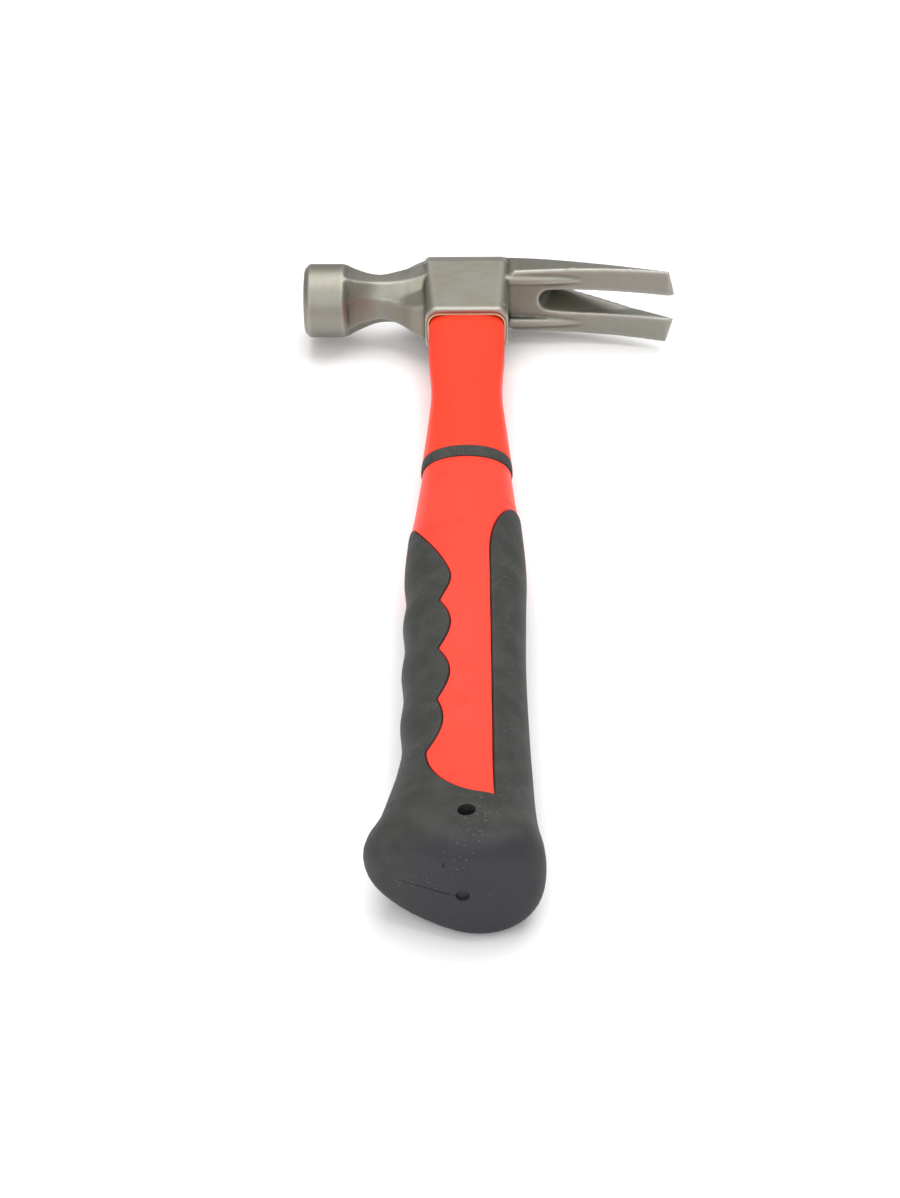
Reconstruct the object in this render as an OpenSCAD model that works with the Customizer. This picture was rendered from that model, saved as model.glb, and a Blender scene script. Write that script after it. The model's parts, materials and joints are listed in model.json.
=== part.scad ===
// Claw hammer with a straight ripping claw, lying on its side.
// The handle runs along Y with the head at +Y, the claw points to +X, the striking face to -X,
// and Z is the hammer's thickness. Sizes are in millimetres. Each piece is drawn about the point
// where the poll's axis crosses the handle's, and moved into place by lay_down().
// "Down" a piece is the distance from the poll's axis towards the butt, so y = -down.

/* [Head] */
// Diameter of the poll, the round end with the striking face
poll_d = 27.5; // [25:0.5:31]
// Striking face to the handle's axis
poll_reach = 60.8; // [58:0.2:72]
// Length of the poll's round part
poll_len = 15.8; // [12:0.2:18]
// Chamfer round the striking face
face_chamfer = 1.8; // [0.5:0.1:2.5]
// Claw tips to the handle's axis
claw_reach = 77.2; // [70:0.2:92]
// Width of the claw across its tips
claw_w = 31.2; // [25:0.2:34]
// Thickness of the claw's ground edge
tip_t = 1.0; // [0.6:0.1:2]
// Radius to which the claw's underside curves
claw_bend_r = 205; // [120:1:300]
// Width of the nail slot at the tips
slot_w = 9.8; // [6:0.1:10.6]
// Width of the nail slot where it ends in a sharp root on the outer side
slot_root_w = 1.0; // [0.6:0.1:2]
// Length of the cheek block along the head
cheek_len = 31.4; // [30:0.2:40]
// Thickness across the cheeks at their crease
cheek_t = 25.2; // [22:0.2:32]
// Thickness of the skirt that runs down to the handle
skirt_t = 19.2; // [18.8:0.2:24]
// Poll axis to the top of the head
head_top = 15.3; // [14:0.1:18]
// Poll axis down to the skirt's rim
skirt_drop = 21.4; // [18:0.2:27]
// Height of the neck at its waist
neck_h = 15.0; // [12:0.2:20]
// Thickness of the neck at its waist
neck_t = 17.6; // [14:0.2:22]

/* [Eye] */
// Depth of the wide mouth in which the jacket sits
mouth_depth = 7; // [4:0.5:10]
// Epoxy round the jacket and the core
bond_gap = 0.6; // [0.3:0.05:0.8]
// How much wider the eye is at the top than at the mouth, on each side
eye_flare = 1.2; // [0.5:0.1:2]
// How far the core stops below the top of the head
core_setback = 2.5; // [1:0.5:5]

/* [Core] */
// Width of the fibreglass core
core_w = 20; // [16:0.5:22]
// Thickness of the fibreglass core
core_t = 9; // [7.4:0.2:10]
// Corner radius of the fibreglass core
core_r = 3.2; // [2:0.1:3.6]

/* [Handle] */
// Skirt rim to the end of the butt
handle_len = 288; // [245:0.5:345]
// Width of the jacket where it enters the head
tang_w = 27.8; // [25:0.2:28.4]
// Thickness of the jacket where it enters the head
tang_t = 13.6; // [12.4:0.2:16]
// Width of the neck of the handle at its waist
waist_w = 25.3; // [24:0.2:30]
// Thickness of the neck of the handle at its waist
waist_t = 14.4; // [13:0.2:18]
// Skirt rim to the collar band
neck_len = 84.4; // [70:0.2:100]
// Width of the handle at the collar band
collar_w = 31.2; // [28:0.2:37]
// Thickness of the handle at the collar band
collar_t = 18; // [15.6:0.2:21]
// Length of the collar band along the handle
band_len = 6.6; // [4:0.2:9]
// Depth of the groove that the collar band fills
band_depth = 1.2; // [0.8:0.1:1.6]
// How far the collar band stands out of its groove
band_proud = 0.2; // [0:0.05:0.5]
// Width of the grip over the palm
palm_w = 38.8; // [34:0.2:46]
// Thickness of the grip over the palm
palm_t = 26.4; // [22:0.2:32]
// Width of the butt at its widest
butt_w = 52.8; // [46:0.2:60]
// Thickness of the butt
butt_t = 37.4; // [31:0.2:44]

/* [Grip] */
// Thickness of the rubber round the jacket
rubber_t = 3; // [2:0.1:3.6]
// How far the rubber stands above the jacket's windows
window_step = 0.4; // [0.2:0.05:0.8]
// Distance from one finger groove to the next
finger_pitch = 23.2; // [20:0.1:26]
// Depth of the finger grooves
finger_depth = 0.9; // [0.3:0.1:1.5]
// Solid rubber between the jacket's lower end and the end of the butt
heel_len = 24.4; // [22:0.2:30]
// Diameter of the hang hole
hole_d = 5.2; // [4:0.1:6.2]
// Hang hole to the end of the butt
hole_up = 16.4; // [13:0.2:17]
// Diameter of the moulding gate's dimple
gate_d = 4; // [2:0.2:6]
// Depth of the moulding gate's dimple
gate_depth = 1.2; // [0.5:0.1:2]

/* [Hidden] */
steel = [0.59, 0.58, 0.55];
red = [1.0, 0.35, 0.27];
dark_rubber = [0.29, 0.30, 0.29];
epoxy = [0.86, 0.78, 0.60];
glass_fibre = [0.90, 0.85, 0.62];
$fn = 64;
eps = 0.01;

rim_at = skirt_drop;
butt_at = rim_at + handle_len;
collar_at = rim_at + neck_len;
mouth_at = rim_at - mouth_depth;
jacket_end = butt_at - heel_len;
core_end = jacket_end - 6;
mouth_w = tang_w + 2 * bond_gap;
mouth_t = tang_t + 2 * bond_gap;
tang_r = 4;
eye_w = core_w + 2 * bond_gap;
eye_t = core_t + 2 * bond_gap;

// ---- curves and lofts ----

// The interval of rows that holds position p
function span(rows, p, i = 0) =
    (i >= len(rows) - 2 || p < rows[i + 1][0]) ? i : span(rows, p, i + 1);

function slope(rows, i, k) =
    let (a = max(i - 1, 0), b = min(i + 1, len(rows) - 1))
    (rows[b][k] - rows[a][k]) / (rows[b][0] - rows[a][0]);

// A smooth curve through rows of [position, value, ...], for value k
function through(rows, p, k = 1) =
    let (i = span(rows, p), h = rows[i + 1][0] - rows[i][0], t = (p - rows[i][0]) / h)
    rows[i][k] * (2 * t^3 - 3 * t^2 + 1) + slope(rows, i, k) * h * (t^3 - 2 * t^2 + t)
    + rows[i + 1][k] * (3 * t^2 - 2 * t^3) + slope(rows, i + 1, k) * h * (t^3 - t^2);

function smooth_step(t) = let (c = min(max(t, 0), 1)) c * c * (3 - 2 * c);

function signed_power(a, n) = sign(a) * pow(abs(a), n);

// A closed solid through rings of the same number of points, with a flat cap on each end
module loft(rings) {
    n = len(rings[0]);
    last = (len(rings) - 1) * n;
    sides = [
        for (i = [0 : len(rings) - 2], j = [0 : n - 1])
            let (a = i * n + j, b = i * n + (j + 1) % n)
            each [[a, a + n, b], [b, a + n, b + n]]
    ];
    first_cap = [for (j = [1 : n - 2]) [0, j, j + 1]];
    last_cap = [for (j = [1 : n - 2]) [last, last + j + 1, last + j]];
    polyhedron(points = [for (ring = rings, point = ring) point],
               faces = concat(sides, first_cap, last_cap), convexity = 6);
}

// A rounded rectangle of the XZ plane at a distance down the handle, with its own radius on
// each side: r towards the claw, r_back towards the poll
function round_rect(down, w, t, r, r_back = 0, steps = 6) = [
    for (q = [0 : 3], i = [0 : steps])
        let (turn = 90 * (q + i / steps),
             front = q == 0 || q == 3,
             radius = front || r_back == 0 ? r : r_back,
             cx = (front ? 1 : -1) * (w / 2 - radius),
             cz = (q < 2 ? 1 : -1) * (t / 2 - radius))
        [cx + radius * cos(turn), -down, cz + radius * sin(turn)]
];

// A straight bar with rounded corners, from one distance down the handle to another
module bar(from, to, w, t, r) {
    translate([0, -to, 0]) rotate([-90, 0, 0])
        linear_extrude(to - from) {
            square([w - 2 * r, t], center = true);
            square([w, t - 2 * r], center = true);
            for (sx = [-1, 1], sz = [-1, 1])
                translate([sx * (w / 2 - r), sz * (t / 2 - r)]) circle(r);
        }
}

module lay_down() {
    translate([-(claw_reach - poll_reach) / 2, (butt_at - head_top) / 2, butt_t / 2])
        children();
}

// ---- outer surface of the handle ----

// Rows of [down, reach to -X, reach to +X, half thickness, squareness of the section].
// The butt is thickest where its rounding starts, so the hammer lies on that line.
butt_round = 5.5;
skin = [
    [rim_at, tang_w / 2, tang_w / 2, tang_t / 2, 3.4],
    [rim_at + 18, tang_w / 2 - 0.1, tang_w / 2 + 0.1, tang_t / 2 + 0.1, 2.9],
    [rim_at + 42, waist_w / 2 - 0.35, waist_w / 2 + 0.35, waist_t / 2, 2.5],
    [collar_at - 20, collar_w / 2 - 2.3, collar_w / 2 - 1.1, collar_t / 2 - 1.0, 2.2],
    [collar_at + 3, collar_w / 2 - 0.7, collar_w / 2 + 0.7, collar_t / 2, 2.1],
    [butt_at - 146, palm_w / 2 - 0.4, palm_w / 2 + 1.0, palm_t / 2 - 0.6, 2.3],
    [butt_at - 122, palm_w / 2 - 0.4, palm_w / 2 + 0.7, palm_t / 2, 2.3],
    [butt_at - 94, palm_w / 2 - 0.6, palm_w / 2 + 0.4, palm_t / 2, 2.3],
    [butt_at - 57, palm_w / 2 - 0.9, palm_w / 2 + 1.3, palm_t / 2 + 0.2, 2.3],
    [butt_at - 46, palm_w / 2 - 0.5, palm_w / 2 + 1.8, palm_t / 2 + 0.8, 2.3],
    [butt_at - 34, butt_w / 2 - 4.9, butt_w / 2 - 4.7, butt_t / 2 - 3.6, 2.4],
    [butt_at - 19, butt_w / 2 - 1.7, butt_w / 2 - 3.5, butt_t / 2 - 1.3, 2.5],
    [butt_at - 10, butt_w / 2 + 0.7, butt_w / 2 - 2.1, butt_t / 2 - 0.3, 2.6],
    [butt_at - butt_round, butt_w / 2 + 1.5, butt_w / 2 - 1.8, butt_t / 2, 2.6],
    [butt_at, butt_w / 2 + 2.2, butt_w / 2 - 1.5, butt_t / 2 - 0.3, 2.6]
];

// Finger grooves: four of them on the striking-face side, each as deep as the others
first_finger = butt_at - 127;
function finger(down) =
    let (t = (down - first_finger) / finger_pitch)
    (t < -0.5 || t > 3.5) ? 0 : finger_depth * (1 + cos(360 * t)) / 2;

// How much shorter the butt is at x than at its longest, on its slanted end
function end_slant(x) = x < 0 ? 0.41 * sqrt(x * x + 4) - 0.82 : 0.0075 * x * x;
slant_len = 34;
function y_at(down, x) =
    -down + end_slant(x) * smooth_step((down - butt_at + slant_len) / (slant_len - 4));

// The butt is thinner on its striking-face side and fuller on its claw side
butt_lean = 0.2;
function lean(down) = butt_lean * smooth_step((down - butt_at + 40) / 36);

// One ring of the surface, set in by inset all round
points_round = 36;
function ring(down, inset = 0, shrink_x = 0, shrink_z = 0) =
    let (left = through(skin, down, 1) - finger(down), right = through(skin, down, 2),
         middle = (right - left) / 2,
         rx = (left + right) / 2 - inset - shrink_x,
         rz = through(skin, down, 3) - inset - shrink_z,
         n = 2 / through(skin, down, 4))
    [
        for (i = [0 : points_round - 1])
            let (turn = 360 * i / points_round,
                 across = signed_power(cos(turn), n),
                 x = middle + rx * across,
                 z = rz * signed_power(sin(turn), n) * (1 + lean(down) * (across - 0.2)))
            [x, y_at(down, x), z]
    ];

// Stations down the handle, closer together over the finger grooves
function stations(from, to, step) =
    let (count = max(1, ceil((to - from) / step)))
    [for (i = [0 : count]) from + (to - from) * i / count];

// The surface as a solid, ended square
module skin_solid(from, to, inset, step = 8) {
    loft([for (down = stations(from, to, step)) ring(down, inset)]);
}

// The grip's outer shape, with its butt rounded over
round_x = 4.5;
round_z = 5;
module grip_solid(from) {
    straight_end = butt_at - butt_round;
    end_half = through(skin, butt_at, 3);
    finger_start = first_finger - finger_pitch / 2;
    loft(concat(
        [for (down = stations(from, finger_start, 8)) ring(down)],
        [for (down = stations(finger_start + finger_pitch / 6, straight_end, finger_pitch / 6)) ring(down)],
        [for (i = [1 : 5]) let (a = 90 * i / 5)
            ring(straight_end + butt_round * sin(a), 0, round_x * (1 - cos(a)), round_z * (1 - cos(a)))],
        [for (f = [0.5, 0.85, 0.99])
            ring(butt_at, 0, round_x + f * (butt_w / 2 - round_x), round_z + f * (end_half - round_z))]
    ));
}

// ---- plan of the jacket's window ----

// Every point is [x, down]. Each cheek of the grip shows the same window.
window_right = 8.8;
window_end = butt_at - 24.8;
cusp_x = -7.5;
lobe = 3.9;
lobe_top = first_finger + finger_pitch / 2;

// Top of the rubber on the claw side: a quarter of an oval
claw_side = [
    for (a = [0 : 10 : 90])
        [window_right + 13 * (1 - sin(a)), butt_at - 141 - 32 * cos(a)]
];

// Top of the rubber on the finger side, down to the first cusp
finger_side_rows = [
    [butt_at - 172, -19.6], [butt_at - 159, -16.6], [butt_at - 150, -12.9],
    [butt_at - 137, -6.8], [butt_at - 126.5, -3.8], [lobe_top, cusp_x]
];
finger_side = [for (down = stations(butt_at - 172, lobe_top, 4)) [through(finger_side_rows, down), down]];

// Lobes between the finger grooves; the last one runs back to the wide end of the window
lobes = [
    for (n = [0 : 2], i = [1 : 8])
        let (t = i / 8, drift = n == 2 ? -3 * t : 0, size = n == 2 ? 3.3 : lobe)
        [cusp_x + drift + size * sin(180 * pow(t, 0.9)), lobe_top + finger_pitch * (n + t)]
];
window_tail = [
    let (top = lobe_top + 3 * finger_pitch, w = window_right + 1.2 - cusp_x + 3)
    for (a = [10 : 10 : 90])
        [window_right + 1.2 - w * cos(a), top + (window_end - top) * sin(a)]
];

window_plan = concat(
    [[-60, collar_at - 1], [60, collar_at - 1], [60, butt_at - 173]],
    claw_side,
    [for (i = [len(window_tail) - 1 : -1 : 0]) window_tail[i]],
    [for (i = [len(lobes) - 1 : -1 : 0]) lobes[i]],
    [for (i = [len(finger_side) - 1 : -1 : 0]) finger_side[i]],
    [[-60, butt_at - 172]]
);

module window_prism() {
    translate([0, 0, -butt_t])
        linear_extrude(2 * butt_t)
            polygon([for (p = window_plan) [p[0], -p[1]]]);
}

// ---- head ----

// The poll: a true cylinder with a flat face and a chamfer at each end
module poll() {
    translate([-poll_reach, 0, 0]) rotate([0, 90, 0])
        rotate_extrude()
            polygon([
                [0, 0], [poll_d / 2 - face_chamfer, 0], [poll_d / 2, face_chamfer],
                [poll_d / 2, poll_len - 1], [poll_d / 2 - 1.6, poll_len + 0.6], [0, poll_len + 0.6]
            ]);
}

// The neck: flats that draw in to a waist and flare into the cheek block.
// Rows of [x, bottom, bottom's half, keel, keel's half, shoulder, half, top, top's half, and how far
// the top's corner is cut down and in]
crease_up = 8.2;
neck_mid = 1.3;
neck_top = neck_mid + neck_h / 2;
neck_low = neck_mid - neck_h / 2;
flat = poll_d / 2 + 0.4;
poll_end = poll_len - poll_reach;
neck_rows = [
    [poll_end - 3, -flat, flat * 0.41, 0.1 - flat, flat * 0.42, flat * -0.41, flat, flat, flat, flat * 0.59,
        flat * 0.59],
    [poll_end + 4, neck_low - 2.2, 5.3, neck_low - 2.1, 5.4, neck_low + 2.2, neck_t / 2 + 2.1,
        neck_top + 1.3, neck_t / 2 + 2.1, 5.6, 5.6],
    [poll_end + 12, neck_low, neck_t / 2 - 4.5, neck_low + 0.1, neck_t / 2 - 4.4, neck_low + 4.5, neck_t / 2,
        neck_top, neck_t / 2, 4.5, 4.5],
    [-cheek_len / 2 - 9, neck_low - 4, neck_t / 2 - 4.2, neck_low + 0.1, neck_t / 2 - 3.4, neck_low + 4.9,
        neck_t / 2 + 0.3, neck_top + 2.4, neck_t / 2 + 0.5, 5, 3.7],
    [-cheek_len / 2 - 4, neck_low - 8, skirt_t / 2 - 3.6, neck_low + 0.4, cheek_t / 2 - 5.8, neck_low + 5.4,
        cheek_t / 2 - 2.6, head_top - 2.1, cheek_t / 2 - 2, 7, 3],
    [-cheek_len / 2 + 1, -skirt_drop + 5, skirt_t / 2 - 1.9, neck_low + 1.8, cheek_t / 2 - 4.0,
        neck_low + 6.2, cheek_t / 2 - 1.1, head_top - 1.3, cheek_t / 2 - 1, 8.4, 2.2]
];
function neck_ring(x) =
    let (v = [for (k = [0 : 10]) k == 0 ? x : through(neck_rows, x, k)],
         side = [[v[7], v[8] - v[10]], [v[7] - v[9], v[8]], [v[5], v[6]], [v[3], v[4]], [v[1], v[2]]])
    [for (p = side) [x, p[0], p[1]], for (i = [4 : -1 : 0]) [x, side[i][0], -side[i][1]]];
module neck() {
    first = neck_rows[0][0];
    last = neck_rows[len(neck_rows) - 1][0];
    wide = skirt_drop + 5;
    intersection() {
        loft([for (x = stations(first, last, 1.5)) neck_ring(x)]);
        // The flats are ground into the round of the poll
        translate([first, 0, 0]) rotate([0, 90, 0])
            rotate_extrude()
                polygon([
                    [0, 0], [poll_d / 2 - 0.2, 0], [poll_d / 2 - 0.2, 5], [poll_d / 2 + 1, 10],
                    [wide, 20], [wide, last - first + 1], [0, last - first + 1]
                ]);
    }
}

// The cheek block and its skirt: widest at a crease a little above the poll's axis
rim_bevel = 0.6;
rim_r = 4.4;
skirt_taper = 0.6;
module cheeks() {
    loft([
        round_rect(-head_top, cheek_len - 2, cheek_t - 6.2, 2, 1.4),
        round_rect(-head_top + 1, cheek_len, cheek_t - 4.6, 2.4, 1.4),
        round_rect(-crease_up, cheek_len, cheek_t, 2.6, 1.4),
        round_rect(rim_at - rim_bevel, cheek_len - skirt_taper, skirt_t, rim_r),
        round_rect(rim_at, cheek_len - skirt_taper - 2 * rim_bevel, skirt_t - 2 * rim_bevel, rim_r)
    ]);
}

// The claw: underside and outer side are curves along X
claw_from = cheek_len / 2 - 3;
bend_from = 30;
claw_drop = 1.2;
tip_grind = 2.2;
tip_rise = 0.9;
function under(x) = -claw_drop - max(0, x - bend_from)^2 / (2 * claw_bend_r);
function ground(x) = under(x) + tip_rise * max(0, 1 - (claw_reach - x) / tip_grind);
outer_rows = [
    [claw_from, head_top - 0.2, 10.2],
    [claw_reach - 50, head_top - 1.9, 10.6],
    [claw_reach - 31, under(claw_reach - 31) + 9.9, 11.9],
    [claw_reach - 13, under(claw_reach - 13) + 5.7, 13.4],
    [claw_reach - tip_grind, under(claw_reach - tip_grind) + tip_t + 1.2, claw_w / 2 - 0.8],
    [claw_reach, under(claw_reach) + tip_t + tip_rise, claw_w / 2 - 0.6]
];
claw_flare = 5;
function claw_half(x) =
    let (root = cheek_t / 2 + 0.2)
    root + (claw_w / 2 - root) * (x - claw_from) / (claw_reach - claw_from)
    - 1.9 * (1 - smooth_step((x - claw_from - 1.5) / (claw_flare - 1.5)));
under_chamfer = 0.8;
module claw_bar() {
    loft([
        for (x = concat(stations(claw_from, claw_from + claw_flare, 1.25),
                        stations(claw_from + claw_flare + 4, claw_reach - tip_grind, 5), [claw_reach]))
            let (low = ground(x), high = through(outer_rows, x, 1),
                 wide = claw_half(x), narrow = min(through(outer_rows, x, 2), wide - 0.3),
                 edge = min(1.2, (high - low) / 4), chamfer = min(under_chamfer, (high - low) / 3))
            [
                [x, high, narrow - edge], [x, high - edge, narrow],
                [x, low + chamfer, wide], [x, low, wide - chamfer],
                [x, low, chamfer - wide], [x, low + chamfer, -wide],
                [x, high - edge, -narrow], [x, high, edge - narrow]
            ]
    ]);
}

// The tips are cut back towards their outer corners
tip_cut = 2.5;
module tip_corners() {
    for (side = [-1, 1])
        rotate([90, 0, 0])
            translate([0, 0, -head_top])
                linear_extrude(3 * head_top)
                    polygon([
                        [claw_reach + 1, side * slot_w / 2], [claw_reach + 0.3, side * slot_w / 2],
                        [claw_reach - tip_cut, side * claw_w / 2],
                        [claw_reach - tip_cut, side * claw_w], [claw_reach + 1, side * claw_w]
                    ]);
}

// The nail slot: a vee right through the claw, whose walls are bevelled to a wide scoop underneath.
// The scoop's mouth and the bevel's inner edges lie on planes that slope down towards the tips.
slot_scoop = 26.2;
slot_root = 33;
slot_full = 62;
scoop_slope = -0.05;
vee_slope = -0.34;
vee_below_top = 4.2;
module on_slope(slope, height) {
    multmatrix([[1, 0, 0, 0], [slope, 1, 0, height], [0, 0, 1, 0]])
        rotate([90, 0, 0])
            children();
}
module vee() {
    polygon([
        [slot_root, slot_root_w / 2], [slot_root, -slot_root_w / 2],
        [slot_full, -slot_w / 2], [claw_reach + 2, -slot_w / 2],
        [claw_reach + 2, slot_w / 2], [slot_full, slot_w / 2]
    ]);
}
module nail_slot() {
    hull() {
        on_slope(scoop_slope, -claw_drop - scoop_slope * slot_scoop)
            linear_extrude(head_top)
                polygon(concat(
                    [for (a = [90 : 15 : 270])
                        [slot_scoop + slot_w / 2 * (1 + cos(a)), slot_w / 2 * sin(a)]],
                    [[claw_reach + 2, -slot_w / 2], [claw_reach + 2, slot_w / 2]]));
        on_slope(vee_slope, head_top - vee_below_top - vee_slope * slot_root)
            linear_extrude(0.1)
                vee();
    }
    on_slope(0, 2 * head_top) linear_extrude(4 * head_top) vee();
}

// The shallow channel between the two ribs at the claw's root
channel_w = 14.6;
channel_depth = 1.7;
channel_end = 43;
module root_channel() {
    start = cheek_len / 2 - 0.2;
    loft([
        for (x = stations(start, channel_end, 4))
            let (low = under(x) - 0.3, fade = 1 - smooth_step((x - start) / (channel_end - start)),
                 floor = low + (channel_depth + 0.3) * fade, half = channel_w / 2)
            [
                [x, low - 2, half + 1.6], [x, low - 2, -half - 1.6], [x, low, -half - 1.6],
                [x, floor, -half + 0.4], [x, floor, half - 0.4], [x, low, half + 1.6]
            ]
    ]);
}

// The eye: a wide mouth for the jacket, then a hole that flares towards the top
module eye() {
    bar(mouth_at, rim_at + 1, mouth_w, mouth_t, tang_r + bond_gap);
    top = -head_top - 0.5;
    loft([
        round_rect(top, eye_w + 2 * eye_flare, eye_t + 2 * eye_flare, core_r + bond_gap),
        round_rect(mouth_at + eps, eye_w, eye_t, core_r + bond_gap)
    ]);
}

module head() {
    color(steel)
        lay_down()
            difference() {
                union() {
                    poll();
                    neck();
                    cheeks();
                    claw_bar();
                }
                nail_slot();
                root_channel();
                tip_corners();
                eye();
            }
}

// ---- handle ----

module core_bar() {
    bar(-head_top + core_setback, core_end, core_w, core_t, core_r);
}

module fibreglass_core() {
    color(glass_fibre) lay_down() core_bar();
}

// The jacket's part inside the head's mouth
module tang() {
    bar(mouth_at + bond_gap, rim_at + 2, tang_w, tang_t, tang_r);
}

// Cast epoxy fills what is left of the eye round the core and the jacket, nearly flush at both ends
bond_sink = 0.2;
module eye_bond() {
    color(epoxy)
        lay_down()
            difference() {
                intersection() {
                    eye();
                    translate([-cheek_len / 2, -rim_at + bond_sink, -cheek_t / 2])
                        cube([cheek_len, rim_at + head_top - 2 * bond_sink, cheek_t]);
                }
                core_bar();
                tang();
            }
}

// The jacket's surface near the band, set in, and the slab of space that the band takes up
module near_band(inset) {
    skin_solid(collar_at - 4, collar_at + band_len + 4, inset, 4);
}
module band_slab() {
    translate([-collar_w, -collar_at - band_len, -collar_w])
        cube([2 * collar_w, band_len, 2 * collar_w]);
}

// The moulded jacket: tang, neck, the band's groove, and the body under the rubber with a raised
// window on each cheek
module handle_jacket() {
    color(red)
        lay_down()
            difference() {
                union() {
                    tang();
                    skin_solid(rim_at, collar_at + eps, 0);
                    intersection() {
                        skin_solid(collar_at, jacket_end, window_step);
                        window_prism();
                    }
                    skin_solid(collar_at, jacket_end, rubber_t);
                }
                difference() {
                    band_slab();
                    near_band(band_depth);
                }
                core_bar();
            }
}

module collar_band() {
    color(dark_rubber)
        lay_down()
            intersection() {
                difference() {
                    near_band(-band_proud);
                    near_band(band_depth);
                }
                band_slab();
            }
}

module grip() {
    color(dark_rubber)
        lay_down()
            difference() {
                grip_solid(butt_at - 190);
                window_prism();
                skin_solid(collar_at, jacket_end, rubber_t);
                translate([2, -butt_at + hole_up, 0])
                    cylinder(d = hole_d, h = 2 * butt_t, center = true);
                translate([0.9, -butt_at, 0]) rotate([90, 0, 0])
                    cylinder(d = gate_d, h = 2 * gate_depth, center = true);
            }
}

head();
fibreglass_core();
eye_bond();
handle_jacket();
collar_band();
grip();
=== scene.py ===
import json
import math

import bpy
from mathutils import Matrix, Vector
from mathutils.bvhtree import BVHTree

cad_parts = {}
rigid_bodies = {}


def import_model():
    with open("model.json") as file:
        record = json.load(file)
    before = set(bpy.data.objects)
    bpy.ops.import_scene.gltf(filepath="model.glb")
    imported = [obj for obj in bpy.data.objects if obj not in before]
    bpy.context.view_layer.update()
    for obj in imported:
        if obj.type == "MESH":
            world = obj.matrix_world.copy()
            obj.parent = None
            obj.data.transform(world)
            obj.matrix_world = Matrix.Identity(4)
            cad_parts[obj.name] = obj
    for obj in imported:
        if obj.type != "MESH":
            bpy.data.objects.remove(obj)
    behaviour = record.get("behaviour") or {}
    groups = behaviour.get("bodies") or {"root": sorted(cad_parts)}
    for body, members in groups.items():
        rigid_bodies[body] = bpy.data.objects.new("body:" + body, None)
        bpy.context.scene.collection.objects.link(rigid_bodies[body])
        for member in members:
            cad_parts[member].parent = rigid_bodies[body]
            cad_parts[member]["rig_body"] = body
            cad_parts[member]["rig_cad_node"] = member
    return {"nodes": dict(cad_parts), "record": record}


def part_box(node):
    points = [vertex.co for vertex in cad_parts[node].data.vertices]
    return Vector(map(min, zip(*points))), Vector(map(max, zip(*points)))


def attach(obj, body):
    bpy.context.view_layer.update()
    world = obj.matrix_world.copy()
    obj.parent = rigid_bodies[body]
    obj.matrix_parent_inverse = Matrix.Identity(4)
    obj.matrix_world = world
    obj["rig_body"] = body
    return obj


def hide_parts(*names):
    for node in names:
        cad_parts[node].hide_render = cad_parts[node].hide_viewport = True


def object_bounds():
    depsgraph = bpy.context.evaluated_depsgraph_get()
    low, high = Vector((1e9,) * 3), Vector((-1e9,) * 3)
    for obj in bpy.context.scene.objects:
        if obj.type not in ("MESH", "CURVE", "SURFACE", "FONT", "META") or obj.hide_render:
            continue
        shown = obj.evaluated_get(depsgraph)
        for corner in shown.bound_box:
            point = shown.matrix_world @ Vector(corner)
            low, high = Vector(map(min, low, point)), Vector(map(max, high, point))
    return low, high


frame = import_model()
cad_low, cad_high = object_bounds()
nodes = frame["nodes"]
MM = 0.001

# ---- FIBREGLASS CORE ----
# A pultruded rod of glass strands in resin that carries the blow from the head to the hand.
# The head and the jacket are fixed round it, so only its upper end can be seen, down in the eye.


def new_material(name):
    """A material with a Principled shader: the material, its node tree and the shader."""
    material = bpy.data.materials.new(name)
    material.use_nodes = True
    return material, material.node_tree, material.node_tree.nodes["Principled BSDF"]


def dress(piece, material):
    """Puts one material on a piece, in place of what it had."""
    piece.data.materials.clear()
    piece.data.materials.append(material)


def feed(tree, value, socket):
    """Gives a socket a link, a colour or a number."""
    if isinstance(value, bpy.types.NodeSocket):
        tree.links.new(value, socket)
    else:
        socket.default_value = (*value, 1) if isinstance(value, tuple) else value


def object_place(tree, scale=(1, 1, 1)):
    """Object coordinates, stretched."""
    place = tree.nodes.new("ShaderNodeTexCoord")
    mapping = tree.nodes.new("ShaderNodeMapping")
    mapping.inputs["Scale"].default_value = scale
    tree.links.new(place.outputs["Object"], mapping.inputs["Vector"])
    return mapping.outputs["Vector"]


def noise(tree, place, scale, detail=3.0):
    """A noise pattern's value."""
    pattern = tree.nodes.new("ShaderNodeTexNoise")
    feed(tree, place, pattern.inputs["Vector"])
    feed(tree, scale, pattern.inputs["Scale"])
    feed(tree, detail, pattern.inputs["Detail"])
    return pattern.outputs["Fac"]


def ramp(tree, value, low, high):
    """A value eased from 0 at low to 1 at high."""
    spread = tree.nodes.new("ShaderNodeMapRange")
    spread.interpolation_type = "SMOOTHSTEP"
    feed(tree, value, spread.inputs["Value"])
    feed(tree, low, spread.inputs["From Min"])
    feed(tree, high, spread.inputs["From Max"])
    return spread.outputs["Result"]


def blend_colours(tree, amount, first, second):
    """One colour turning into another."""
    mix = tree.nodes.new("ShaderNodeMix")
    mix.data_type = "RGBA"
    feed(tree, amount, mix.inputs["Factor"])
    feed(tree, first, mix.inputs[6])
    feed(tree, second, mix.inputs[7])
    return mix.outputs[2]


core_material, core_tree, core_shader = new_material("glass_fibre")
strands = noise(core_tree, object_place(core_tree, (1, 0.03, 1)), 2500)
core_colour = blend_colours(core_tree, strands, (0.62, 0.55, 0.30), (0.86, 0.82, 0.62))
feed(core_tree, core_colour, core_shader.inputs["Base Color"])
core_shader.inputs["Roughness"].default_value = 0.45
dress(nodes["fibreglass_core"], core_material)

# ---- HEAD ----
# Drop-forged steel: a round poll, an octagonal neck, a cheek block with a skirt, and a split claw.
# It is ground and tumbled to a satin finish, so its edges are softened and rubbed lighter. Its colour
# also carries painted shade in the recesses and a painted highlight on the edges.

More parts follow.
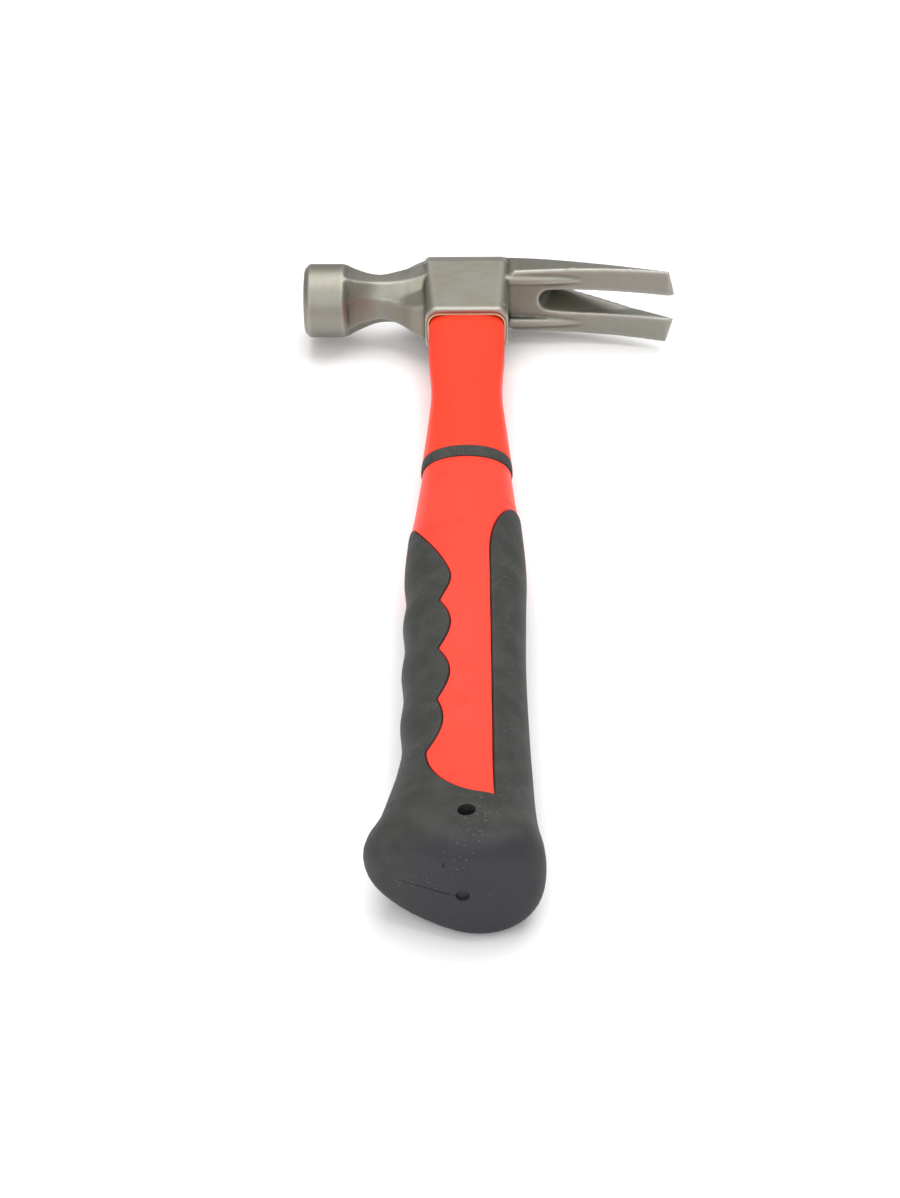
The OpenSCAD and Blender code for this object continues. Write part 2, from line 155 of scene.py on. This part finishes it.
forging_cell = 0.5 * MM
rib_reach = 29 * MM
rib_height = 1.3 * MM
rib_half = 1.9 * MM
rib_out = 9.2 * MM


def select_only(piece):
    """Leaves one object selected and active."""
    bpy.ops.object.select_all(action="DESELECT")
    piece.select_set(True)
    bpy.context.view_layer.objects.active = piece


def merged_copy(node, name):
    """A copy of a CAD node with its loose triangles joined into one surface."""
    select_only(nodes[node])
    bpy.ops.object.duplicate()
    piece = bpy.context.object
    piece.name = piece.data.name = name
    piece.parent = None
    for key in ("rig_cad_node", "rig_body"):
        del piece[key]
    bpy.ops.mesh.customdata_custom_splitnormals_clear()
    bpy.ops.object.mode_set(mode="EDIT")
    bpy.ops.mesh.select_all(action="SELECT")
    bpy.ops.mesh.remove_doubles(threshold=0.002 * MM)
    bpy.ops.object.mode_set(mode="OBJECT")
    return piece


def add_modifier(piece, kind, **settings):
    """Adds a modifier with its settings and applies it."""
    select_only(piece)
    modifier = piece.modifiers.new(kind.lower(), kind)
    for key, value in settings.items():
        setattr(modifier, key, value)
    bpy.ops.object.modifier_apply(modifier=modifier.name)


def join(pieces):
    """Joins pieces into the first of them."""
    select_only(pieces[0])
    for piece in pieces[1:]:
        piece.select_set(True)
    bpy.ops.object.join()
    return pieces[0]


head_low, head_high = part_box("head")
core_low, core_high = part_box("fibreglass_core")
axis_x = (core_low.x + core_high.x) / 2
axis_z = (core_low.z + core_high.z) / 2
block_half = 15.7 * MM
rib_y = head_high.y - 16.7 * MM

head = merged_copy("head", "hammer_head")
ribs = []
for side in (-1, 1):
    bpy.ops.mesh.primitive_uv_sphere_add(segments=24, ring_count=16, radius=1)
    rib = bpy.context.object
    bpy.ops.transform.resize(value=(rib_reach, rib_height, rib_half))
    bpy.ops.transform.translate(value=(axis_x + block_half, rib_y, axis_z + side * rib_out))
    bpy.ops.object.transform_apply(location=True, rotation=True, scale=True)
    ribs.append(rib)
join([head] + ribs)
add_modifier(head, "REMESH", mode="VOXEL", voxel_size=forging_cell, use_smooth_shade=True)
add_modifier(head, "SMOOTH", factor=0.5, iterations=5)


def make_group(name, inputs, outputs):
    """An empty shader group; an input without a number takes a place, and all else are numbers."""
    group = bpy.data.node_groups.new(name, "ShaderNodeTree")
    for label, value in inputs.items():
        if value is None:
            group.interface.new_socket(label, in_out="INPUT", socket_type="NodeSocketVector")
        else:
            socket = group.interface.new_socket(label, in_out="INPUT", socket_type="NodeSocketFloat")
            socket.default_value = value
    for label in outputs:
        group.interface.new_socket(label, in_out="OUTPUT", socket_type="NodeSocketFloat")
    return group, group.nodes.new("NodeGroupInput").outputs, group.nodes.new("NodeGroupOutput").inputs


def calculate(tree, operation, first, second=0.0, clamp=False):
    """A value worked out from one or two others."""
    step = tree.nodes.new("ShaderNodeMath")
    step.operation = operation
    step.use_clamp = clamp
    feed(tree, first, step.inputs[0])
    feed(tree, second, step.inputs[1])
    return step.outputs[0]


def build_wear_light_and_shade():
    """Masks from the surface's curvature: Edge is 1 on outer edges, for rubbed steel with a painted
    highlight, and Recess is 1 in recesses, for painted shade.
    """
    group, given, result = make_group("edge_and_recess", {"Spread": 0.05}, ["Edge", "Recess"])
    shape = group.nodes.new("ShaderNodeNewGeometry")
    offset = calculate(group, "SUBTRACT", shape.outputs["Pointiness"], 0.5)
    share = calculate(group, "DIVIDE", offset, given["Spread"])
    for label, sign in (("Edge", 1.0), ("Recess", -1.0)):
        feed(group, calculate(group, "MULTIPLY", share, sign, clamp=True), result[label])
    return group


def build_patches():
    """Soft patches of tint, grime or dust: 0 where a noise is under Low, 1 where it is over High."""
    group, given, result = make_group(
        "patches", {"Place": None, "Scale": 100.0, "Detail": 3.0, "Low": 0.4, "High": 0.7}, ["Mask"])
    pattern = noise(group, given["Place"], given["Scale"], given["Detail"])
    feed(group, ramp(group, pattern, given["Low"], given["High"]), result["Mask"])
    return group


def build_grain():
    """The height of a surface's grain."""
    group, given, result = make_group(
        "grain", {"Place": None, "Scale": 1000.0, "Detail": 3.0}, ["Height"])
    feed(group, noise(group, given["Place"], given["Scale"], given["Detail"]), result["Height"])
    return group


wear_light_and_shade_group = build_wear_light_and_shade()
patches_group = build_patches()
grain_group = build_grain()


def add_group(tree, group, **values):
    """Places a group in a material with its own values, and gives its outputs."""
    node = tree.nodes.new("ShaderNodeGroup")
    node.node_tree = group
    for label, value in values.items():
        feed(tree, value, node.inputs[label])
    return node.outputs


def bump(tree, height, strength, distance, shader, below=None):
    """Drives a shader's normal by a height, over another normal where there is one."""
    relief = tree.nodes.new("ShaderNodeBump")
    relief.inputs["Strength"].default_value = strength
    relief.inputs["Distance"].default_value = distance
    feed(tree, height, relief.inputs["Height"])
    if below:
        feed(tree, below, relief.inputs["Normal"])
    feed(tree, relief.outputs["Normal"], shader.inputs["Normal"])
    return relief.outputs["Normal"]


steel, steel_tree, steel_shader = new_material("forged_steel")
steel_place = object_place(steel_tree)
steel_wear_light_and_shade = add_group(steel_tree, wear_light_and_shade_group, Spread=0.05)
tint = add_group(steel_tree, patches_group, Place=steel_place, Scale=60, Detail=3, Low=0.4, High=0.65)
clean = blend_colours(steel_tree, tint["Mask"], (0.265, 0.26, 0.23), (0.255, 0.242, 0.195))
# Painted shade: the steel's colour is darkened to near black in the recesses, such as the feet of the
# ribs and round the block.
with_recess_shade = blend_colours(steel_tree, steel_wear_light_and_shade["Recess"], clean, (0.045, 0.042, 0.034))
# Rubbed steel with a painted highlight: the colour is lightened on the outer edges.
edges_rubbed_and_lit = blend_colours(steel_tree, steel_wear_light_and_shade["Edge"], with_recess_shade, (0.44, 0.43, 0.39))
feed(steel_tree, edges_rubbed_and_lit, steel_shader.inputs["Base Color"])
steel_shader.inputs["Metallic"].default_value = 1.0
tumble = add_group(steel_tree, grain_group, Place=steel_place, Scale=900, Detail=3)
satin = steel_tree.nodes.new("ShaderNodeMapRange")
satin.inputs["To Min"].default_value = 0.42
satin.inputs["To Max"].default_value = 0.58
feed(steel_tree, tumble["Height"], satin.inputs["Value"])
feed(steel_tree, satin.outputs["Result"], steel_shader.inputs["Roughness"])
forge_scale = add_group(steel_tree, grain_group, Place=steel_place, Scale=260, Detail=3)
waves = bump(steel_tree, forge_scale["Height"], 0.35, 0.3 * MM, steel_shader)
bump(steel_tree, tumble["Height"], 0.25, 0.06 * MM, steel_shader, waves)
dress(head, steel)
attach(head, "root")
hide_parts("head")

# ---- EPOXY BOND ----
# Cast round the core and the jacket's tang to hold them in the eye; a thin amber line of it shows at
# the rim of the skirt, and its top closes the eye.

bond_material, bond_tree, bond_shader = new_material("cast_epoxy")
cloud = noise(bond_tree, object_place(bond_tree), 400)
bond_colour = blend_colours(bond_tree, cloud, (0.50, 0.38, 0.22), (0.72, 0.62, 0.42))
feed(bond_tree, bond_colour, bond_shader.inputs["Base Color"])
bond_shader.inputs["Roughness"].default_value = 0.3
dress(nodes["eye_bond"], bond_material)

# ---- HANDLE JACKET ----
# Red polypropylene moulded round the core: a tang in the head's mouth, an oval neck, a groove for the
# collar band, and a body whose window stands up between the two sides of the rubber grip.

window_step = 0.4 * MM
rubber_wall = 3.0 * MM
finger_pitch = 23.2 * MM
first_cusp_up = 115.4 * MM
slant_len = 34 * MM
strike_slope = 0.41
slope_round = 2 * MM
claw_curve = 7.5
butt_lean = 0.2
lean_from = 40 * MM
lean_full = 36 * MM
butt_round = 5.5 * MM
tang_len = 6.4 * MM

rim_y = head_low.y
handle_len = rim_y - cad_low.y
band_low, band_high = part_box("collar_band")


def surface(node):
    """A CAD node's surface, to measure by rays."""
    mesh = nodes[node].data
    return BVHTree.FromPolygons([v.co for v in mesh.vertices], [p.vertices for p in mesh.polygons])


red_cad = surface("handle_jacket")
dark_cad = surface("grip")
far = 0.2


def reach(cad, x, y, way):
    """How far a CAD surface reaches from the point (x, y) on the handle's middle plane."""
    start = Vector((x, y, axis_z)) + Vector(way) * far
    hit = cad.ray_cast(start, -Vector(way))
    return far - hit[3] if hit[0] is not None and hit[3] < far else 0.0


def eased(share):
    """A share from 0 to 1 with a slow start and end."""
    share = min(max(share, 0.0), 1.0)
    return share * share * (3 - 2 * share)


def end_y(down, x):
    """The butt's end is cut back towards the striking side, and a little towards the claw side."""
    if x < axis_x:
        lift = strike_slope * (math.hypot(x - axis_x, slope_round) - slope_round)
    else:
        lift = claw_curve * (x - axis_x) ** 2
    return rim_y - down + lift * eased((down - handle_len + slant_len) / (slant_len - 4 * MM))


def lean_at(down, across):
    """A factor of thickness: the butt is thinner on its striking side and fuller on its claw side."""
    return 1 + butt_lean * eased((down - handle_len + lean_from) / lean_full) * (across - 0.2)


def measure(down):
    """The outer surface at a station: its reach to each side, and its half thickness."""
    left = right = 15 * MM
    both = (red_cad, dark_cad)
    for _ in range(4):
        left = max(reach(cad, axis_x, end_y(down, axis_x - left), (-1, 0, 0)) for cad in both)
        right = max(reach(cad, axis_x, end_y(down, axis_x + right), (1, 0, 0)) for cad in both)
    middle = axis_x + (right - left) / 2
    red_up = reach(red_cad, middle, rim_y - down, (0, 0, 1))
    dark_up = reach(dark_cad, middle, rim_y - down, (0, 0, 1))
    in_window = red_up > dark_up and rim_y - down < band_low.y
    return left, right, (max(red_up, dark_up) + (window_step if in_window else 0)) / lean_at(down, 0)


def spread(start, end, step):
    """Evenly spaced stations, both ends included."""
    count = max(1, round((end - start) / step))
    return [start + (end - start) * i / count for i in range(count + 1)]


groove_top = rim_y - band_high.y
groove_end = rim_y - band_low.y
gauge_stations = (spread(1 * MM, groove_top - 2 * MM, 9 * MM)
                  + spread(groove_end + 3 * MM, handle_len - 128 * MM, 8 * MM)
                  + spread(handle_len - 124 * MM, handle_len - 40 * MM, finger_pitch / 6)
                  + spread(handle_len - 36 * MM, handle_len - butt_round - 0.3 * MM, 5 * MM))
gauges = [(down, *measure(down)) for down in gauge_stations]
squareness_rows = [(0, 3.4), (18 * MM, 2.9), (42 * MM, 2.5), (groove_top, 2.15),
                   (groove_end + 30 * MM, 2.3), (handle_len - 46 * MM, 2.3),
                   (handle_len - 8 * MM, 2.6), (handle_len, 2.6)]


def through(rows, place, k):
    """A smooth curve through rows of (place, value, ...), for value k."""
    place = min(max(place, rows[0][0]), rows[-1][0])
    i = max(n for n in range(len(rows) - 1) if n == 0 or rows[n][0] <= place)
    before, after = rows[max(i - 1, 0)], rows[min(i + 2, len(rows) - 1)]
    a, b = rows[i], rows[i + 1]
    gap = b[0] - a[0]
    t = (place - a[0]) / gap
    slope_a = (b[k] - before[k]) / (b[0] - before[0]) * gap
    slope_b = (after[k] - a[k]) / (after[0] - a[0]) * gap
    return (a[k] * (2 * t**3 - 3 * t**2 + 1) + slope_a * (t**3 - 2 * t**2 + t)
            + b[k] * (3 * t**2 - 2 * t**3) + slope_b * (t**3 - t**2))


def shape_at(down):
    """Middle, half width, half thickness and squareness of the section at a station."""
    left, right, half = (through(gauges, down, k) for k in (1, 2, 3))
    return axis_x + (right - left) / 2, (left + right) / 2, half, through(squareness_rows, down, 1)


def skin(down, turn, inset=0.0, shrink=(0.0, 0.0)):
    """A point of the handle's outer surface, set in; turn runs from the claw side over the top."""
    middle, half_x, half_z, square = shape_at(down)
    power = 2 / square
    across = math.copysign(abs(math.cos(turn)) ** power, math.cos(turn))
    up = abs(math.sin(turn)) ** power * lean_at(down, across)
    x = middle + (half_x - inset - shrink[0]) * across
    return Vector((x, end_y(down, x), (half_z - inset - shrink[1]) * up))


def turn_at(down, x):
    """The turn at which the surface crosses x."""
    middle, half_x, _, square = shape_at(down)
    across = min(max((x - middle) / half_x, -1.0), 1.0)
    return math.acos(math.copysign(abs(across) ** (square / 2), across))


def is_dark(down, x):
    """Whether rubber, and not the jacket, is on top at x."""
    y = end_y(down, x)
    return reach(dark_cad, x, y, (0, 0, 1)) > reach(red_cad, x, y, (0, 0, 1))


def find_edge(test, inside, outside):
    """Closes in on the place where a test turns true."""
    for _ in range(22):
        middle = (inside + outside) / 2
        inside, outside = (inside, middle) if test(middle) else (middle, outside)
    return (inside + outside) / 2


window_x = axis_x + 8.6 * MM
window_end = find_edge(lambda down: is_dark(down, window_x),
                       handle_len - 60 * MM, handle_len - 20 * MM)


def window_turns(down):
    """The turns of the window's two edges at a station."""
    if down >= window_end - 0.01 * MM:
        corner = turn_at(down, axis_x + 10 * MM)
        return corner, corner
    middle, half_x, _, _ = shape_at(down)
    side = half_x - 0.7 * MM
    turns = []
    for end, limit in ((middle + side, 0.0), (middle - side, math.pi)):
        if is_dark(down, end):
            turns.append(turn_at(down, find_edge(lambda x: is_dark(down, x), window_x, end)))
        else:
            turns.append(limit)
    return turns


def sheet(name, rows):
    """A sheet of quads through rows of points: a grid whose points are laid on the surface."""
    columns = len(rows[0])
    bpy.ops.mesh.primitive_grid_add(x_subdivisions=columns - 1, y_subdivisions=len(rows) - 1, size=1)
    piece = bpy.context.object
    piece.name = piece.data.name = name
    points = [point for row in rows for point in row]
    for vertex, point in zip(piece.data.vertices, points):
        vertex.co = point
    return piece


def close_up(piece, fill=True):
    """Merges a half shell's doubles, mirrors it, fills its ends and turns its faces outwards."""
    select_only(piece)
    bpy.ops.object.mode_set(mode="EDIT")
    bpy.ops.mesh.select_all(action="SELECT")
    bpy.ops.mesh.remove_doubles(threshold=0.01 * MM)
    bpy.ops.object.mode_set(mode="OBJECT")
    add_modifier(piece, "MIRROR", use_axis=(False, False, True), use_clip=True,
                 merge_threshold=0.02 * MM)
    bpy.ops.object.mode_set(mode="EDIT")
    bpy.ops.mesh.select_all(action="SELECT")
    bpy.ops.mesh.remove_doubles(threshold=0.01 * MM)
    bpy.ops.mesh.dissolve_degenerate(threshold=0.001 * MM)
    if fill:
        bpy.ops.mesh.select_all(action="DESELECT")
        bpy.ops.mesh.select_non_manifold(extend=False, use_wire=False, use_multi_face=False,
                                         use_non_contiguous=False, use_verts=False)
        bpy.ops.mesh.fill_holes(sides=0)
    bpy.ops.mesh.select_all(action="SELECT")
    bpy.ops.mesh.normals_make_consistent(inside=False)
    bpy.ops.transform.translate(value=(0, 0, axis_z))
    bpy.ops.object.mode_set(mode="OBJECT")


first_cusp = handle_len - first_cusp_up
lobe_rows = [first_cusp + finger_pitch * (n + (1 - math.cos(math.pi * i / 10)) / 2)
             for n in range(3) for i in range(10)]
tail_top = first_cusp + 3 * finger_pitch
tail_rows = [tail_top + (window_end - tail_top) * math.sin(math.radians(a)) for a in range(0, 91, 9)]
rubber_top = handle_len - 176 * MM
window_rows = spread(rubber_top, first_cusp, 2.4 * MM)[:-1] + lobe_rows + tail_rows

red_columns = 20
groove_depth = 1.2 * MM
side_shares = (0, 0.35, 0.7, 1)


def jacket_row(down, inset, y_shift=0.0):
    """One row of the jacket, over the top from the claw side: under rubber, window, under rubber."""
    claw_edge, strike_edge = window_turns(down) if down > rubber_top else (0.0, math.pi)
    row = []
    for share in side_shares:
        row.append(skin(down, claw_edge * share, rubber_wall if claw_edge > 0 else inset))
    for i in range(red_columns + 1):
        row.append(skin(down, claw_edge + (strike_edge - claw_edge) * i / red_columns, inset))
    for share in side_shares:
        row.append(skin(down, strike_edge + (math.pi - strike_edge) * share,
                        rubber_wall if strike_edge < math.pi else inset))
    for point in row:
        point.y += y_shift
    return row


jacket_rows = [jacket_row(0.5 * MM, 0, tang_len), jacket_row(0.5 * MM, 0, tang_len - 0.5 * MM)]
jacket_rows += [jacket_row(down, 0) for down in spread(0.5 * MM, groove_top - 0.3 * MM, 3.5 * MM)]
jacket_rows += [jacket_row(groove_top, 0.15 * MM), jacket_row(groove_top, groove_depth)]
jacket_rows += [jacket_row(groove_end, groove_depth), jacket_row(groove_end, window_step + 0.1 * MM)]
body_rows = spread(groove_end + 0.3 * MM, rubber_top, 2.4 * MM) + window_rows[1:]
jacket_rows += [jacket_row(down, window_step) for down in body_rows]
jacket = sheet("jacket", jacket_rows)
close_up(jacket)
add_modifier(jacket, "SUBSURF", levels=1, render_levels=1)
select_only(jacket)
bpy.ops.object.shade_smooth_by_angle(angle=math.radians(40))

red, red_tree, red_shader = new_material("red_plastic")
red_place = object_place(red_tree)
red_along = red_tree.nodes.new("ShaderNodeSeparateXYZ")
feed(red_tree, red_place, red_along.inputs[0])
# Painted sheen: below the collar band the red turns slightly pinker, standing in for the sheen on the
# lower handle.
lower = ramp(red_tree, red_along.outputs["Y"], band_high.y + 4 * MM, band_low.y - 10 * MM)
red_tone = blend_colours(red_tree, lower, (0.93, 0.050, 0.020), (0.92, 0.060, 0.036))
grime = add_group(red_tree, patches_group, Place=red_place, Scale=90, Detail=6, Low=0.5, High=0.8)
red_colour = blend_colours(red_tree, grime["Mask"], red_tone, (0.84, 0.048, 0.024))
feed(red_tree, red_colour, red_shader.inputs["Base Color"])
red_shader.inputs["Roughness"].default_value = 0.42
red_shader.inputs["Specular IOR Level"].default_value = 0.18
red_grain = add_group(red_tree, grain_group, Place=red_place, Scale=2600, Detail=2)
bump(red_tree, red_grain["Height"], 0.25, 0.05 * MM, red_shader)
dress(jacket, red)
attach(jacket, "root")
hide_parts("handle_jacket")

# ---- COLLAR BAND ----
# A ring of the grip's rubber, shot into the jacket's groove in the same moulding as the grip. It
# stands slightly proud of the plastic on both sides of it.

band_proud = 0.2 * MM
band_fit = 0.02 * MM
band_outline = [
    (groove_end - band_fit, groove_depth), (groove_end - band_fit, 0.3 * MM),
    (groove_end - 0.3 * MM, 0), (groove_end - 1 * MM, -band_proud * 0.8),
    ((groove_top + groove_end) / 2, -band_proud),
    (groove_top + 1 * MM, -band_proud * 0.8), (groove_top + 0.3 * MM, 0),
    (groove_top + band_fit, 0.3 * MM), (groove_top + band_fit, groove_depth),
    (groove_end - band_fit, groove_depth)]
band_rows = [[skin(down, math.pi * i / 24, inset) for i in range(25)] for down, inset in band_outline]
band = sheet("band", band_rows)
close_up(band, fill=False)
add_modifier(band, "SUBSURF", levels=1, render_levels=1)
select_only(band)
bpy.ops.object.shade_smooth_by_angle(angle=math.radians(40))

rubber, rubber_tree, rubber_shader = new_material("dark_rubber")
rubber_place = object_place(rubber_tree)
rubber_along = rubber_tree.nodes.new("ShaderNodeSeparateXYZ")
feed(rubber_tree, rubber_place, rubber_along.inputs[0])
sides = rubber_along.outputs


def strip(value, centre, half):
    """1 where a value is within half of a centre, with a soft rim."""
    away = calculate(rubber_tree, "ABSOLUTE", calculate(rubber_tree, "SUBTRACT", value, centre))
    return ramp(rubber_tree, away, half, half * 0.6)


def product(first, second):
    """Two masks multiplied."""
    return calculate(rubber_tree, "MULTIPLY", first, second)


mottle = add_group(rubber_tree, patches_group,
                   Place=rubber_place, Scale=160, Detail=6, Low=0.35, High=0.7)
rubber_tone = blend_colours(rubber_tree, mottle["Mask"], (0.034, 0.036, 0.033), (0.048, 0.049, 0.046))
# Painted reflection: towards the butt's end the rubber is tinted bluish, standing in for the
# reflection on its end face.
end_reflection_tint = ramp(rubber_tree, sides["Y"], cad_low.y + 10 * MM, cad_low.y)
rubber_tone = blend_colours(rubber_tree, end_reflection_tint, rubber_tone, (0.031, 0.030, 0.038))
# Painted shade: the mould line on the butt and a nick near its end are painted near black, standing
# in for the shade in them.
near_end = ramp(rubber_tree, sides["Y"], cad_low.y + 18 * MM, cad_low.y + 12 * MM)
mould_line_shade = product(strip(sides["X"], axis_x - 9 * MM, 9 * MM), strip(sides["Z"], axis_z, 0.3 * MM))
nick_shade = product(strip(sides["X"], axis_x - 4.4 * MM, 0.35 * MM),
               strip(sides["Z"], axis_z + 10.5 * MM, 1.3 * MM))
for mark in (mould_line_shade, nick_shade):
    shown = product(mark, near_end)
    rubber_tone = blend_colours(rubber_tree, shown, rubber_tone, (0.006, 0.006, 0.006))
specks = rubber_tree.nodes.new("ShaderNodeTexVoronoi")
specks.inputs["Scale"].default_value = 900
feed(rubber_tree, rubber_place, specks.inputs["Vector"])
speck = ramp(rubber_tree, specks.outputs["Distance"], 0.22, 0.05)
dusty = add_group(rubber_tree, patches_group,
                  Place=rubber_place, Scale=45, Detail=4, Low=0.45, High=0.7)
dust = product(speck, dusty["Mask"])
rubber_colour = blend_colours(rubber_tree, dust, rubber_tone, (0.20, 0.20, 0.185))
feed(rubber_tree, rubber_colour, rubber_shader.inputs["Base Color"])
rubber_shader.inputs["Roughness"].default_value = 0.62
rubber_shader.inputs["Specular IOR Level"].default_value = 0.25
rubber_grain = add_group(rubber_tree, grain_group, Place=rubber_place, Scale=1900, Detail=3)
bump(rubber_tree, rubber_grain["Height"], 0.3, 0.05 * MM, rubber_shader)
dress(band, rubber)
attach(band, "root")
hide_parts("collar_band")

# ---- GRIP ----
# Dark rubber moulded over the jacket, with finger grooves on the striking side, a flared butt with
# a hang hole through it, and the round mark of the moulding gate on its end.

outer_shares = (0, 0.17, 0.34, 0.51, 0.68, 0.83, 0.93, 0.98, 1)
inner_shares = (1, 0.7, 0.35, 0)
edge_drop = 0.15 * MM
hole_drill = 60 * MM
gate_radius = 2.0 * MM
gate_drill = 2.4 * MM
end_x = 4.5 * MM
end_z = 5 * MM
heel_rows = spread(window_end, handle_len - butt_round, 2.5 * MM)[1:]
grip_rows = window_rows + heel_rows


def grip_strip(down, side, shares, insets, shrink=(0.0, 0.0)):
    """Points from the handle's side to the window's edge; side 0 is the claw's, 1 the face's."""
    edge = window_turns(down)[side]
    start = math.pi * side
    if edge == start:
        insets = [rubber_wall] * len(shares)
    turns = [start + (edge - start) * share for share in shares]
    return [skin(down, turn, inset, shrink) for turn, inset in zip(turns, insets)]


sheets = []
for side in (0, 1):
    outer = []
    for down in grip_rows:
        in_window = down < window_end + 0.01 * MM
        drops = [0] * (len(outer_shares) - 1) + [edge_drop if in_window else 0]
        outer.append(grip_strip(down, side, outer_shares, drops))
    for i in range(1, 6):
        angle = math.radians(90 * i / 5)
        shrink = (end_x * (1 - math.cos(angle)), end_z * (1 - math.cos(angle)))
        down = handle_len - butt_round + butt_round * math.sin(angle)
        outer.append(grip_strip(down, side, outer_shares, [0] * len(outer_shares), shrink))
    _, half_x, half_z, _ = shape_at(handle_len)
    for share in (0.2, 0.4, 0.6, 0.8, 1):
        shrink = (end_x + share * (half_x - end_x), end_z + share * (half_z - end_z))
        outer.append(grip_strip(handle_len, side, outer_shares, [0] * len(outer_shares), shrink))
    wall_insets = (edge_drop,) + (rubber_wall,) * len(inner_shares)
    wall = [grip_strip(down, side, (1,) + inner_shares, wall_insets) for down in window_rows]
    sheets += [sheet("grip_outer", outer), sheet("grip_inner", wall)]
grip = join(sheets)
grip.name = grip.data.name = "rubber_grip"
close_up(grip)
add_modifier(grip, "SUBSURF", levels=1, render_levels=1)


def cutter(radius, depth, place, tilt):
    """A round cutter centred at a place, tilted from upright about X."""
    bpy.ops.mesh.primitive_cylinder_add(vertices=48, radius=radius, depth=depth, location=place,
                                        rotation=(math.radians(tilt), 0, 0))
    tool = bpy.context.object
    bpy.ops.object.transform_apply(location=True, rotation=True, scale=True)
    return tool


def cut(piece, tool):
    """Cuts a piece with a tool and clears the tool away."""
    add_modifier(piece, "BOOLEAN", object=tool, operation="DIFFERENCE", solver="EXACT")
    bpy.data.objects.remove(tool)


hang_hole = next(m for m in frame["record"]["mounts"] if m["name"] == "hang_hole")
hole_place = Vector(hang_hole["pos_m"])
hole_radius = hang_hole["dims"]["r_mm"] * MM
cut(grip, cutter(hole_radius, hole_drill, hole_place, 0))
gate_place = Vector((axis_x + 0.9 * MM, cad_low.y, axis_z))
cut(grip, cutter(gate_radius, gate_drill, gate_place, 90))
select_only(grip)
bpy.ops.object.shade_smooth_by_angle(angle=math.radians(40))
dress(grip, rubber)
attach(grip, "root")
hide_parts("grip")

# ---- STUDIO ----
# A white table under two large soft lights and a pale sky; the camera looks down on the hammer from
# beyond its butt.

bpy.ops.mesh.primitive_plane_add(size=6, location=(0, 0, cad_low.z - 0.1 * MM))
table = bpy.context.object
table.name = "table"
table_material, _, table_shader = new_material("table_white")
table_shader.inputs["Base Color"].default_value = (0.97, 0.97, 0.97, 1)
table_shader.inputs["Roughness"].default_value = 0.9
dress(table, table_material)


def soft_light(name, place, target, size, power):
    """A square soft light aimed at a point."""
    bpy.ops.object.light_add(type="AREA", location=place)
    light = bpy.context.object
    light.name = name
    light.data.shape = "SQUARE"
    light.data.size = size
    light.data.energy = power
    light.rotation_euler = (Vector(target) - Vector(place)).to_track_quat("-Z", "Y").to_euler()


soft_light("front", (-0.2, -1.15, 0.95), (0, 0, 0), 1.5, 13)
soft_light("overhead", (0.1, 0.3, 1.4), (0, 0, 0), 1.4, 21)
world = bpy.data.worlds.new("studio")
bpy.context.scene.world = world
world.use_nodes = True
world.node_tree.nodes["Background"].inputs["Color"].default_value = (1, 1, 1, 1)
world.node_tree.nodes["Background"].inputs["Strength"].default_value = 0.42
bpy.context.scene.view_settings.view_transform = "Standard"

camera_place = (0.00096, -0.63607, 0.50818)
camera_turn = (51.01, 0.70, 0.70)
bpy.ops.object.camera_add(location=camera_place)
camera = bpy.context.object
camera.rotation_euler = [math.radians(degrees) for degrees in camera_turn]
camera.data.sensor_width = 36
camera.data.lens = 73.3
bpy.context.scene.camera = camera
